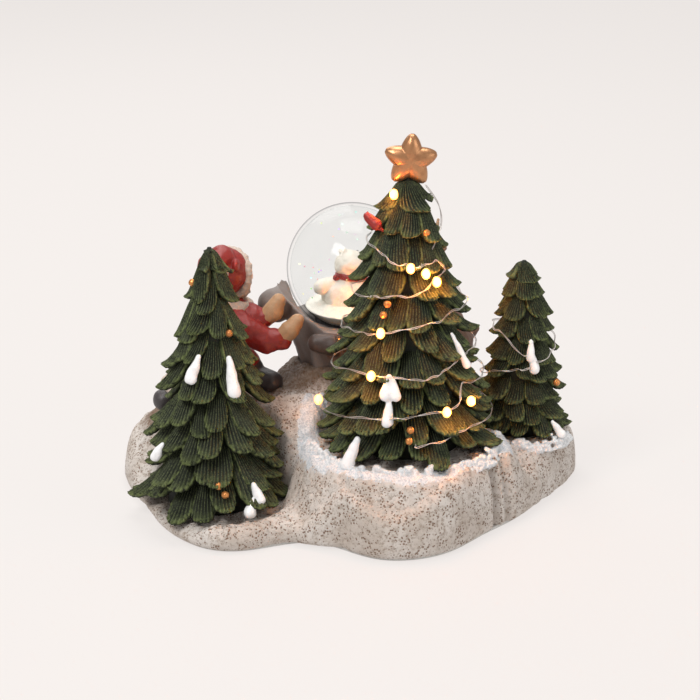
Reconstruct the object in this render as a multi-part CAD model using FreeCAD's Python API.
"""Winter-scene snow globe: a glass ball on a carved stump, held by a Santa figure and a reindeer, among
three fir trees on a hollow cast base with a battery light string.

Millimetres, +Z up. The origin is the centre of the resting plane, +X runs along the long side of the base
and the large fir with the star stands on the -Y side. One STEP file is written for each separate piece.
"""
import FreeCAD
import Part

import math
import os

from FreeCAD import Vector

# ---- driving dimensions ------------------------------------------------------------------------------
GLOBE_CENTRE = Vector(0.7, 31.0, 74.0)
GLOBE_R = 23.0
GLASS_WALL = 1.2
NECK_R = 11.0                # opening in the glass ball for the stopper
NECK_DEPTH = 18.8            # distance from the ball's centre to the opening's plane
STUMP_FOOT = Vector(-1.0, 29.0, 30.0)
STUMP_AXIS = Vector(-4.0, 1.0, 44.0)
STUMP_RADII = (13.5, 22.0)
COLLAR_DEPTH = 17.5          # distance from the ball's centre down to the stump's collar
RIM_AXIS = Vector(0.574, 0, 0.819)   # the stump's side slopes down at right angles to this
RIM_DEPTH = 19.5             # distance of that slope from the ball's centre
OPEN_SIDE = Vector(0, -0.94, 0.34)   # the ball is open to view along this line

FELT = 1.0                   # thickness of the non-slip sheet
SLAB_TOP = 8.0               # height of the snow at the rim
RIM_ROUND = 3.0              # height of the sloping upper edge of the slab
RIM_SHRINK = 0.965           # outline at the top of that slope
FELT_INSET = 0.965           # felt outline as a share of the base outline

CAVITY_CENTRE = (14.0, 6.0)
CAVITY_SIZE = (58.0, 60.0)
CAVITY_CORNER = 3.0
CAVITY_TOP = 17.0
PLATE_Z = 3.6                # underside of the bottom plate
PLATE_T = 1.6
PLATE_GAP = 0.15             # clearance between the plate and the casting
LEDGE = 4.0                  # how far the plate's seat runs round the cavity

CELL_R = 5.25                # AAA cell
CELL_LENGTH = 44.5
CELL_PITCH = 11.0
CELL_COUNT = 2
BAY_X = -2.0                 # centre of the battery bay
BAY_Y = 4.5
BAY_WALL = 1.2
BAY_SIZE = (CELL_PITCH * CELL_COUNT + 0.6, CELL_LENGTH + 5.0)
BAY_ROOF = 15.2              # inside height of the bay

DOOR_T = 1.2
DOOR_GAP = 0.2               # clearance round the sliding door
DOOR_MARGIN = 1.5            # how far the door laps over the bay

SWITCH_AT = (34.0, 32.7)
SWITCH_TRAVEL = 2.5
SCREW_R = 1.0
SCREW_HEAD_R = 1.85
SCREW_SPREAD = 19.0          # of the screws from the cavity's middle, along X
SCREW_TIP = 11.0
SCREW_GAP = 0.05             # between a screw and the hole it has cut

FIRS = {
    # name: centre, height of the lowest tips, apex, lowest radius, fullness, tiers
    "large_fir": ((19.0, -10.0), 25.0, 119.0, 31.0, 0.65, 10),
    "medium_fir": ((-46.5, -16.0), 6.0, 97.0, 26.5, 0.62, 8),
    "small_fir": ((60.0, 13.5), 20.0, 83.0, 16.5, 0.65, 9),
}
FIR_CLEARANCE = 0.4
WIRE_CLEARANCE = 2.8         # of the stump from the large fir, which leaves room for the light wire
STAR_CENTRE = Vector(19.7, -10.0, 123.7)
STAR_R = 8.6
STAR_INNER = 0.52
STAR_DEPTH = 3.2
WIRE_R = 0.3
WIRE_HEIGHTS = (44.0, 60.0, 80.0, 97.0)
WIRE_OUT = 2.0               # how far the light wire runs outside the branch tips
WIRE_LEAN = 0.06             # slope of each loop
LED_R = 1.3

# outline of the base at the resting plane, anticlockwise from the front left lobe
OUTLINE = [
    (-56, -41), (-36, -47.5), (-13, -41), (9.5, -54.5), (32.5, -50), (46, -35), (57.5, -22), (69, -4),
    (80, 20), (76, 42), (56, 53), (28, 50), (2, 57), (-28, 53), (-56, 51), (-76, 36), (-79.5, 13), (-69, -17),
]

# rounded snow hills, as balls sunk in the slab: centre and radius
SNOW_HILLS = [
    ((-4, 25, 17), 29),       # central hill under the cradle
    ((26, 22, 13), 30),       # its right-hand end, behind the large fir
    ((-19, 10, 12), 25),      # its shoulder between the large and the medium fir
    ((-48, 23, -6), 35.5),    # terrace under the Santa
    ((34, 34, -6), 32),       # terrace under the reindeer
]
# steep banks under the firs: centre, foot radius, top radius, top height
SNOW_BANKS = [
    ((19, -12), 46, 35, 24.6),
    ((59, 13), 27, 20, 19.6),
]


# ---- small helpers -----------------------------------------------------------------------------------
def box(centre, size, z0, z1):
    """Upright block from its plan centre and size."""
    corner = Vector(centre[0] - size[0] / 2, centre[1] - size[1] / 2, z0)
    return Part.makeBox(size[0], size[1], z1 - z0, corner)


def rounded_box(centre, size, corner, z0, z1):
    """Upright block with rounded vertical edges."""
    block = box(centre, size, z0, z1)
    upright = [e for e in block.Edges if abs(e.BoundBox.ZLength - (z1 - z0)) < 1e-6]
    return block.makeFillet(corner, upright)


def cylinder(x, y, z0, z1, radius):
    return Part.makeCylinder(radius, z1 - z0, Vector(x, y, z0))


def ellipsoid(centre, half_axes):
    """Solid ellipsoid, as a scaled unit sphere."""
    matrix = FreeCAD.Matrix()
    matrix.scale(Vector(*half_axes))
    matrix.move(Vector(*centre))
    return Part.makeSphere(1.0).transformGeometry(matrix)


def rod(start, end, r_start, r_end):
    """Tapered rod with flat ends."""
    start, end = Vector(*start), Vector(*end)
    along = end - start
    return Part.makeCone(r_start, r_end, along.Length, start, along)


def finger(start, end, r_start, r_end):
    """Tapered rod with a round far end."""
    return rod(start, end, r_start, r_end).fuse(Part.makeSphere(r_end, Vector(*end))).removeSplitter()


def limb(start, end, r_start, r_end):
    """Tapered rod with both ends round, for arms and legs."""
    root = Part.makeSphere(r_start, Vector(*start))
    return finger(start, end, r_start, r_end).fuse(root).removeSplitter()


def fuse(shapes):
    return shapes[0].fuse(shapes[1:]).removeSplitter()


def carve(shape, others):
    """The shape without the space that its neighbours hold; only the largest lump is kept."""
    for other in others:
        if other.BoundBox.intersect(shape.BoundBox):
            shape = shape.cut(other)
    return max(shape.Solids, key=lambda solid: solid.Volume)


def spun(profile, centre=(0, 0)):
    """Solid of revolution about a vertical axis from (radius, height) points."""
    points = [Vector(centre[0] + r, centre[1], z) for r, z in profile]
    face = Part.Face(Part.makePolygon(points + points[:1]))
    return face.revolve(Vector(centre[0], centre[1], 0), Vector(0, 0, 1), 360)


def at_globe(shape):
    """Carries a shape built about the origin to the globe's centre."""
    return shape.translated(GLOBE_CENTRE)


# ---- firs, star and their small decorations ----------------------------------------------------------
def fir_radius(fir, z):
    """Radius of the branch tips at a height."""
    _, foot, apex, radius, fullness, _ = FIRS[fir]
    return radius * max(0.0, 1 - (z - foot) / (apex - foot)) ** fullness


def fir(name):
    """Tiers of drooping branches as a stack of skirts round a trunk."""
    centre, foot, apex, _, _, tiers = FIRS[name]
    step = (apex - foot) / (tiers + 0.6)
    profile = [(0, foot + 2)]
    for tier in range(tiers):
        z = foot + tier * step
        tip = fir_radius(name, z)
        profile += [(tip * 0.72, z + 2), (tip, z), (fir_radius(name, z + step) * 0.78, z + step)]
    profile += [(0, apex)]
    return spun(profile, centre)


def fir_space(name, clearance):
    """Smooth envelope of a fir, used to keep its neighbours clear."""
    centre, foot, apex, radius, _, _ = FIRS[name]
    heights = [foot + (apex - foot) * share for share in (0.12, 0.3, 0.5, 0.7, 0.9)]
    profile = [(0, foot - clearance), (radius + clearance, foot - clearance)]
    profile += [(fir_radius(name, z) + clearance, z + 1) for z in heights]
    profile += [(0, apex + clearance)]
    return spun(profile, centre)


def on_fir(name, angle, z, out=0.0):
    """A point on a fir's surface; angle 0 faces -Y and 90 faces +X."""
    centre = FIRS[name][0]
    reach = fir_radius(name, z) + out
    turn = math.radians(angle)
    return Vector(centre[0] + reach * math.sin(turn), centre[1] - reach * math.cos(turn), z)


def star():
    """Plump five-pointed star, thickest at its middle, with a short peg-like seat on the apex."""
    rim = []
    for index in range(10):
        reach = STAR_R if index % 2 == 0 else STAR_R * STAR_INNER
        turn = math.radians(36 * index + 4)
        rim.append(Vector(reach * math.sin(turn), 0, reach * math.cos(turn)) + STAR_CENTRE)
    faces = []
    for side in (-1, 1):
        middle = STAR_CENTRE + Vector(0, side * STAR_DEPTH, 0)
        for a, b in zip(rim, rim[1:] + rim[:1]):
            faces.append(Part.Face(Part.makePolygon([a, b, middle, a])))
    return Part.makeSolid(Part.makeShell(faces))


def drop(point, length, radius):
    """Hanging blob of snow, wide at the bottom."""
    low = point - Vector(0, 0, length - radius)
    blob = Part.makeSphere(radius, low)
    neck = Part.makeCone(radius * 0.95, radius * 0.45, length - 1.4 * radius, low)
    return blob.fuse(neck).removeSplitter()


# places on each fir: angle, height, length and radius of the snow drops; angle and height of the berries
SNOW_DROPS = {
    "large_fir": [(-15, 55, 6.5, 1.9), (-14, 48, 7, 2.2), (-36, 34, 9, 2.4), (45, 68, 7, 1.6), (150, 66, 7, 2),
                  (-95, 52, 8, 2.2), (95, 40, 8, 2.2)],
    "medium_fir": [(-18, 60, 7.5, 1.9), (30, 57, 11, 2.3), (37, 19, 6, 2.2), (-54, 31, 5, 1.8),
                   (170, 48, 8, 2.1)],
    "small_fir": [(15, 55, 6.5, 1.7), (44, 26, 5, 1.7), (-150, 48, 7, 1.8)],
}
BERRIES = {
    "large_fir": [(35, 103), (-22, 79.8), (-25, 76.2), (2, 40.2), (1, 36.5), (130, 74), (-120, 60)],
    "medium_fir": [(38, 69.1), (-88, 84.5), (7, 20.3), (12, 17.5), (140, 60)],
    "small_fir": [(60, 40), (-160, 60)],
}
BERRY_R = 1.2
PROUD = 1.9                  # how far drops and berries stand out from the branch tips


def snow_drops(name):
    return [drop(on_fir(name, angle, z, PROUD - radius), length, radius)
            for angle, z, length, radius in SNOW_DROPS[name]]


def berries(name):
    return [Part.makeSphere(BERRY_R, on_fir(name, a, z, PROUD - BERRY_R)) for a, z in BERRIES[name]]


def garland():
    """Light string round the large fir, as one slightly tilted loop for each of its turns."""
    centre = FIRS["large_fir"][0]
    loops = []
    for index, z in enumerate(WIRE_HEIGHTS):
        lean = math.radians(120 * index)
        axis = Vector(WIRE_LEAN * math.cos(lean), WIRE_LEAN * math.sin(lean), 1)
        reach = fir_radius("large_fir", z) + WIRE_OUT
        loops.append(Part.makeTorus(reach, WIRE_R, Vector(centre[0], centre[1], z), axis))
    return loops


LED_PLACES = [(-44, 114), (12, 91), (26, 88), (-24, 71), (-28, 57), (-90, 40), (27, 45.5), (49, 46.5),
              (90, 74), (150, 60), (-120, 92), (175, 84)]


def lights():
    """Drop-shaped light-emitting diodes of the string, on the large fir."""
    return [Part.makeSphere(LED_R, on_fir("large_fir", a, z, LED_R + 3.4)) for a, z in LED_PLACES]


# ---- base --------------------------------------------------------------------------------------------
def outline_face(scale, z):
    """Flat face inside the base's lobed outline, shrunk about the origin."""
    curve = Part.BSplineCurve()
    curve.interpolate([Vector(x * scale, y * scale, z) for x, y in OUTLINE], PeriodicFlag=True)
    return Part.Face(Part.Wire(curve.toShape()))


def snow_block():
    """Slab, hills and banks of the snow scene, before the cavity is cut."""
    levels = [(1.0, FELT), (1.0, SLAB_TOP - RIM_ROUND), (RIM_SHRINK, SLAB_TOP)]
    slab = Part.makeLoft([outline_face(scale, z).OuterWire for scale, z in levels], True, True)
    fence = outline_face(0.985, FELT + 1).extrude(Vector(0, 0, 60))
    heaps = [Part.makeSphere(radius, Vector(*centre)) for centre, radius in SNOW_HILLS]
    for (x, y), foot, top_r, height in SNOW_BANKS:
        heaps.append(Part.makeCone(foot, top_r, height - FELT - 1, Vector(x, y, FELT + 1)))
    return fuse([slab] + [heap.common(fence) for heap in heaps])


def cavity():
    """Hollow for the battery box, with a wider step at the bottom for the plate."""
    hollow = rounded_box(CAVITY_CENTRE, CAVITY_SIZE, CAVITY_CORNER, FELT - 1, CAVITY_TOP)
    step_size = [side + 2 * LEDGE for side in CAVITY_SIZE]
    step = rounded_box(CAVITY_CENTRE, step_size, CAVITY_CORNER + LEDGE, FELT - 1, PLATE_Z + PLATE_T)
    return hollow.fuse(step)


def screw_places():
    """Two screws on the ledge at each side of the door's path."""
    x, y = CAVITY_CENTRE
    reach = CAVITY_SIZE[1] / 2 + LEDGE / 2
    return [(x + dx, y + dy) for dx in (-SCREW_SPREAD, SCREW_SPREAD) for dy in (-reach, reach)]


def base_casting():
    base = snow_block().cut(cavity())
    base = base.cut([fir_space(name, FIR_CLEARANCE) for name in FIRS])
    for x, y in screw_places():
        base = base.cut(cylinder(x, y, PLATE_Z, SCREW_TIP + 1, SCREW_R + SCREW_GAP))
    return carve(base, [])


def felt_sheet():
    sheet = outline_face(FELT_INSET, 0).extrude(Vector(0, 0, FELT))
    window = [side + 2 * LEDGE + 1 for side in CAVITY_SIZE]
    return sheet.cut(rounded_box(CAVITY_CENTRE, window, CAVITY_CORNER + LEDGE, -1, FELT + 1))


def bottom_plate():
    """Plate that closes the cavity, with the bay window, the door's rails and the switch window."""
    size = [side + 2 * LEDGE - 2 * PLATE_GAP for side in CAVITY_SIZE]
    top = PLATE_Z + PLATE_T
    plate = rounded_box(CAVITY_CENTRE, size, CAVITY_CORNER + LEDGE - PLATE_GAP, PLATE_Z, top)
    plate = plate.cut(box((BAY_X, BAY_Y), BAY_SIZE, PLATE_Z - 1, top + 1))
    plate = plate.cut(box(SWITCH_AT, (7.0, 3.2), PLATE_Z - 1, top + 1))
    half = door_size()[1] / 2 + DOOR_GAP
    lip_z = PLATE_Z - DOOR_T - 2 * DOOR_GAP - 0.8
    for side in (-1, 1):
        wall = box((BAY_X, BAY_Y + side * (half + 0.6)), (door_size()[0], 1.2), lip_z, PLATE_Z)
        lip = box((BAY_X, BAY_Y + side * (half - 0.1)), (door_size()[0], 2.6), lip_z, lip_z + 0.8)
        plate = plate.fuse([wall, lip])
    for x, y in screw_places():
        plate = plate.cut(cylinder(x, y, PLATE_Z - 1, top + 1, SCREW_R + 0.1))
    return plate.removeSplitter()


def door_size():
    return (BAY_SIZE[0] + 2 * DOOR_MARGIN, BAY_SIZE[1] + 2 * DOOR_MARGIN)


def battery_door():
    """Flat sliding door with a ribbed thumb pad; it runs under the plate between two rails."""
    top = PLATE_Z - DOOR_GAP
    door = box((BAY_X, BAY_Y), door_size(), top - DOOR_T, top)
    for rib in range(5):
        groove = box((BAY_X - 12 + rib * 2.0, BAY_Y), (0.9, 14.0), top - DOOR_T - 1, top - DOOR_T + 0.4)
        door = door.cut(groove)
    return door


def battery_box():
    """Open tray above the plate that holds the cells."""
    z0 = PLATE_Z + PLATE_T
    outer = [side + 2 * BAY_WALL for side in BAY_SIZE]
    tray = box((BAY_X, BAY_Y), outer, z0, BAY_ROOF + BAY_WALL)
    return tray.cut(box((BAY_X, BAY_Y), BAY_SIZE, z0 - 1, BAY_ROOF))


def cell_places():
    """Centre of each cell and the end its positive cap points to, +1 for +Y."""
    first = -(CELL_COUNT - 1) / 2
    return [(BAY_X + (first + i) * CELL_PITCH, 1 if i % 2 else -1) for i in range(CELL_COUNT)]


CELL_Z = PLATE_Z + 0.6 + CELL_R


def battery_cells():
    cells = []
    for x, end in cell_places():
        tail = Vector(x, BAY_Y - end * CELL_LENGTH / 2, CELL_Z)
        can = Part.makeCylinder(CELL_R, CELL_LENGTH - 1.0, tail, Vector(0, end, 0))
        cap = Part.makeCylinder(1.9, CELL_LENGTH, tail, Vector(0, end, 0))
        cells.append(can.fuse(cap).removeSplitter())
    return cells


def contact_springs():
    """Conical spring at the negative end of each cell, as a short stepped cone with a hollow middle."""
    springs = []
    for x, end in cell_places():
        foot = Vector(x, BAY_Y - end * (BAY_SIZE[1] / 2 - 0.45), CELL_Z)
        length = (BAY_SIZE[1] - CELL_LENGTH) / 2 - 0.5
        coils = Part.makeCone(3.6, 2.2, length, foot, Vector(0, end, 0))
        hollow = Part.makeCone(3.0, 1.6, length, foot, Vector(0, end, 0))
        springs.append(coils.cut(hollow))
    return springs


def contact_plates():
    """Tinned plates on both end walls of the bay."""
    plates = []
    for x, _ in cell_places():
        for side in (-1, 1):
            y = BAY_Y + side * (BAY_SIZE[1] / 2 - 0.225)
            plates.append(box((x, y), (8.0, 0.35), CELL_Z - 4.0, CELL_Z + 4.0))
    return plates


BOARD_AT = (28.0, 8.0)
BOARD_SIZE = (20.0, 14.0)
BOARD_Z = 9.0
BOARD_T = 1.2


def timer_board():
    return box(BOARD_AT, BOARD_SIZE, BOARD_Z, BOARD_Z + BOARD_T)


def board_posts():
    """Plastic posts that carry the circuit board above the plate."""
    x, y = BOARD_AT
    return [cylinder(x + dx, y + dy, PLATE_Z + PLATE_T, BOARD_Z, 1.6) for dx in (-8, 8) for dy in (-5, 5)]


def timer_chip():
    x, y = BOARD_AT
    return box((x, y), (5.0, 4.0), BOARD_Z + BOARD_T, BOARD_Z + BOARD_T + 1.6)


def switch_body():
    """Slide switch on the plate, open at the bottom for its knob."""
    z0 = PLATE_Z + PLATE_T
    body = box(SWITCH_AT, (12.0, 6.0), z0, z0 + 4.5)
    return body.cut(box(SWITCH_AT, (7.0, 3.2), z0 - 1, z0 + 2.2))


def switch_knob():
    """Knob of the slide switch, at its off end."""
    x = SWITCH_AT[0] - SWITCH_TRAVEL / 2
    return box((x, SWITCH_AT[1]), (3.0, 2.8), PLATE_Z - 1.2, PLATE_Z + PLATE_T + 2.0)


def cover_screws():
    screws = []
    for x, y in screw_places():
        head = cylinder(x, y, PLATE_Z - 1.3, PLATE_Z, SCREW_HEAD_R)
        slot = box((x, y), (2.4, 0.6), PLATE_Z - 2, PLATE_Z - 0.7)
        cross = box((x, y), (0.6, 2.4), PLATE_Z - 2, PLATE_Z - 0.7)
        shank = cylinder(x, y, PLATE_Z, SCREW_TIP, SCREW_R)
        screws.append(head.fuse(shank).cut([slot, cross]).removeSplitter())
    return screws


# ---- glass ball and what it holds --------------------------------------------------------------------
def ball(radius):
    """Sphere about the origin, cut flat at the neck."""
    keep = box((0, 0), (4 * radius, 4 * radius), -NECK_DEPTH, 2 * radius)
    return Part.makeSphere(radius).common(keep)


def globe_glass():
    hollow = Part.makeSphere(GLOBE_R - GLASS_WALL)
    neck = cylinder(0, 0, -GLOBE_R, 0, NECK_R)
    return at_globe(ball(GLOBE_R).cut([hollow, neck]))


def globe_stopper():
    """Rubber plug in the neck, with a flange outside it."""
    plug = cylinder(0, 0, -NECK_DEPTH, -NECK_DEPTH + 3.5, NECK_R - 0.05)
    flange = cylinder(0, 0, -NECK_DEPTH - 2.0, -NECK_DEPTH, NECK_R + 1.6)
    return at_globe(plug.fuse(flange).removeSplitter())


FLOOR = -NECK_DEPTH + 3.5    # top of the stopper on the globe's own axis


def globe_drift():
    """Mound of snow that the snowman stands in, on the stopper."""
    mound = ellipsoid((0, 0, FLOOR), (14.6, 14.6, 4.4))
    return carve(at_globe(mound.common(cylinder(0, 0, FLOOR, 10, 16))), [])


def snowman_parts():
    """Snowman about the globe's axis: two snow balls with stub arms, then scarf and nose."""
    body = ellipsoid((0, 0, -8.5), (9.3, 8.4, 6.7))
    arms = [limb((side * 7.5, -1.5, -6), (side * 11.3, -3, -6.5), 2.6, 2.3) for side in (-1, 1)]
    head = ellipsoid((0, 0, 2.6), (5.6, 5.4, 5.3))
    figure = fuse([body, head] + arms)
    loop = spun([(3.4, -4.0), (5.7, -3.7), (6.1, -2.6), (5.6, -1.5), (3.4, -1.3)])
    scarf = loop.fuse(limb((3.2, 4.6, -3.4), (4.2, 8.2, -8.5), 1.2, 1.1))
    nose = Part.makeCone(0.9, 0.15, 4.0, Vector(0, 4.9, 2.8), Vector(0, 1, 0))
    return figure, scarf.removeSplitter(), nose


def globe_contents():
    """Drift, snowman and its dress, each cut clear of the ones before it."""
    drift = globe_drift()
    figure, scarf, nose = [at_globe(shape) for shape in snowman_parts()]
    figure = carve(figure, [drift])
    scarf = carve(scarf, [figure, drift])
    nose = carve(nose, [figure])
    return {"globe_snow_drift": drift, "snowman": figure, "snowman_scarf": scarf, "snowman_nose": nose}


def globe_liquid(contents):
    """Clear filling of the ball, round the figure and above the stopper."""
    filling = Part.makeSphere(GLOBE_R - GLASS_WALL - 0.02)
    filling = filling.common(box((0, 0), (60, 60), FLOOR, 30))
    return carve(at_globe(filling), list(contents.values()))


# ---- cradle and figures ------------------------------------------------------------------------------
def cradle():
    """Stump with a collar round the ball's neck and a knobbed side that rises beside the ball at -X."""
    stump = Part.makeCone(*STUMP_RADII, STUMP_AXIS.Length, STUMP_FOOT, STUMP_AXIS)
    knob = Part.makeSphere(6.2, Vector(-26.2, 27.5, 61.5))
    over_collar = box((0, 30), (120, 120), GLOBE_CENTRE.z - COLLAR_DEPTH, 150)
    slope = Part.makeCylinder(80, 60, GLOBE_CENTRE - RIM_AXIS * RIM_DEPTH, RIM_AXIS).common(over_collar)
    view_start = GLOBE_CENTRE - OPEN_SIDE * 60
    view = Part.makeCylinder(GLOBE_R + 0.6, 120, view_start, OPEN_SIDE).common(over_collar)
    seat = cylinder(GLOBE_CENTRE.x, GLOBE_CENTRE.y, GLOBE_CENTRE.z - NECK_DEPTH - 2.2, 60, NECK_R + 1.8)
    cup = Part.makeSphere(GLOBE_R + 0.1, GLOBE_CENTRE)
    return carve(fuse([carve(stump, [slope]), knob]), [view, cup, seat])


def santa_parts():
    """Santa leaning on the cradle from the -X side, in the order in which the pieces keep their space."""
    hands = [finger((-29.0, 14.0, 65.2), (-26.0, 14.5, 67.2), 3.1, 2.8),
             finger((-24.6, 8.8, 55.6), (-20.5, 9.0, 58.4), 3.1, 2.8)]
    arms = [rod((-38.0, 15.5, 62.5), (-29.8, 14.0, 64.7), 4.6, 3.5),
            rod((-38.5, 9.5, 58.0), (-25.3, 8.8, 55.2), 4.8, 3.6)]
    head = limb((-42, 19, 74.8), (-42, 19, 76.2), 6.5, 6.3)
    beard = limb((-38.9, 22.8, 69), (-38.0, 24.2, 64.5), 6.0, 4.4)
    collar = Part.makeSphere(8.2, Vector(-42.5, 19, 65.5)).common(box((-42.5, 19), (20, 20), 63.2, 67.8))
    trim = Part.makeTorus(7.4, 2.3, Vector(-41.0, 20.2, 75.6), Vector(0.62, 0.755, -0.2))
    crown = Part.makeSphere(8.3, Vector(-43.6, 16.8, 77.3))
    hood = fuse([crown, limb((-44.5, 12.5, 83), (-45.3, 9.5, 81.5), 4.2, 2.8)])
    pompom = Part.makeSphere(3.8, Vector(-45.4, 6.6, 80.2))
    boots = [limb((-59.5, 16, 31.5), (-65, 12.5, 30.8), 4.3, 3.6),
             limb((-33.5, 16, 38.6), (-27.5, 12, 37.6), 4.2, 3.6)]
    legs = [limb((-53, 18, 43), (-59.5, 16, 37), 5.0, 4.2), limb((-42, 19, 46), (-34, 16, 42), 5.0, 4.2)]
    belt = Part.makeTorus(11.4, 1.5, Vector(-47.6, 19, 50.5), Vector(0.25, 0, 1))
    coat = spun([(0, -18), (13.5, -18), (11.6, -6), (12.2, 2), (9.6, 12), (5.0, 16.5), (0, 17)])
    coat.rotate(Vector(0, 0, 0), Vector(0, 1, 0), 14)
    coat.translate(Vector(-47, 19, 52))
    return {
        "santa_mittens": hands, "santa_sleeves": arms, "santa_hood_trim": [trim], "santa_head": [head],
        "santa_beard": [beard], "santa_collar": [collar], "santa_hood": [hood], "santa_pompom": [pompom],
        "santa_belt": [belt], "santa_coat": [coat], "santa_boots": boots, "santa_trousers": legs,
    }


def reindeer_parts():
    """Reindeer behind the large fir, with one raised foreleg and its chest against the ball's side."""
    raised = fuse([limb((29, 35, 52), (24, 22, 50), 5.0, 3.6), limb((24, 22, 50), (-1, 11, 44.5), 3.4, 2.8),
                   limb((-1, 11, 44.5), (-6, 9.5, 50), 2.8, 2.6)])
    forelegs = [raised, limb((28, 43, 52), (23, 48.5, 33), 3.2, 2.4)]
    hooves = [limb((-6.5, 9, 53), (-11.2, 9, 53.2), 3.6, 3.0),
              limb((23, 48.5, 30.5), (20.5, 49.5, 29.8), 3.0, 2.6)]
    hind = [limb((37, y, 46), (40, y, 33), 4.2, 2.8) for y in (33, 45)]
    body = limb((35, 37, 44), (29, 37, 57), 9.2, 6.8)
    neck = limb((29, 38, 59), (28, 40.5, 67), 4.5, 3.7)
    head = limb((27.5, 42, 70.5), (22.5, 47, 69), 4.7, 2.9)
    ears = [limb((27.5 + 2.6 * side, 41 + 2.8 * side, 74), (29 + 5 * side, 40.5 + 5 * side, 76.5), 1.5, 0.7)
            for side in (-1, 1)]
    antler = []
    for side in (-1, 1):
        root = Vector(27.5 + 1.2 * side, 40.8 + 1.4 * side, 73.8)
        fork = root + Vector(1.6 * side, 1.9 * side, 7)
        tip = fork + Vector(1.2 * side, 2.6 * side, 6)
        tine = fork + Vector(-1.6, 3.0, 3)
        branches = [limb(root, fork, 1.1, 1.0), limb(fork, tip, 1.0, 0.6), limb(fork, tine, 0.9, 0.6)]
        antler.append(fuse(branches))
    scarf = Part.makeTorus(5.0, 1.8, Vector(28.6, 38.6, 62.0), Vector(-0.1, 0.3, 1))
    return {
        "reindeer_scarf": [scarf], "reindeer_antlers": antler, "reindeer_hooves": hooves,
        "reindeer": [fuse([body, neck, head] + ears + hind + forelegs)],
    }


def tree_bird():
    """Small red bird that sits on the large fir on the side of the globe."""
    perch = on_fir("large_fir", -62, 104, 2.6)
    body = limb(perch, perch + Vector(-2.2, 0.3, 2.4), 2.4, 1.7)
    return body


# ---- assembly ----------------------------------------------------------------------------------------
def place_figures(firs, fixed):
    """Cuts each figure piece clear of the scene and of the pieces before it."""
    taken = list(fixed)
    placed = {}
    for name, shapes in {**santa_parts(), **reindeer_parts()}.items():
        clear = []
        for shape in shapes:
            shape = carve(shape, taken + firs + clear)
            clear.append(shape)
        placed[name] = clear
        taken += clear
    return placed


def decorate(firs):
    """Light string outside the branch tips; drops and berries cut clear of their fir."""
    placed = {"light_wire": garland(), "led_lights": lights()}
    for name, solid in firs.items():
        drops = [carve(shape, [solid]) for shape in snow_drops(name)]
        beads = [carve(shape, [solid]) for shape in berries(name)]
        placed[name.replace("fir", "snow_drops")] = drops
        placed[name.replace("fir", "berries")] = beads
    return placed


def assemble():
    firs = {name: fir(name) for name in FIRS}
    wired_fir = fir_space("large_fir", WIRE_CLEARANCE)
    spaces = [wired_fir, fir_space("medium_fir", FIR_CLEARANCE), fir_space("small_fir", FIR_CLEARANCE)]
    topper = carve(star(), [firs["large_fir"]])
    contents = globe_contents()
    glass = globe_glass()
    stopper = globe_stopper()
    holder = carve(cradle(), [wired_fir, glass, stopper])
    base = carve(base_casting(), [holder])
    pieces = {
        "base_casting": [base], "felt_sheet": [felt_sheet()], "bottom_plate": [bottom_plate()],
        "battery_door": [battery_door()], "battery_box": [battery_box()], "battery_cells": battery_cells(),
        "contact_springs": contact_springs(), "contact_plates": contact_plates(),
        "timer_board": [timer_board()],
        "board_posts": board_posts(), "timer_chip": [timer_chip()], "switch_body": [switch_body()],
        "switch_knob": [switch_knob()], "cover_screws": cover_screws(), "star_topper": [topper],
        "globe_glass": [glass], "globe_stopper": [stopper], "globe_liquid": [globe_liquid(contents)],
        "globe_cradle": [holder], "tree_bird": [carve(tree_bird(), [firs["large_fir"], glass])],
    }
    pieces.update({name: [shape] for name, shape in firs.items()})
    pieces.update({name: [shape] for name, shape in contents.items()})
    pieces.update(place_figures(spaces, [base, holder, glass]))
    pieces.update(decorate(firs))
    return pieces


def main():
    os.makedirs("parts", exist_ok=True)
    for name, shapes in assemble().items():
        shape = shapes[0] if len(shapes) == 1 else Part.makeCompound(shapes)
        shape.exportStep(f"parts/{name}.step")


main()
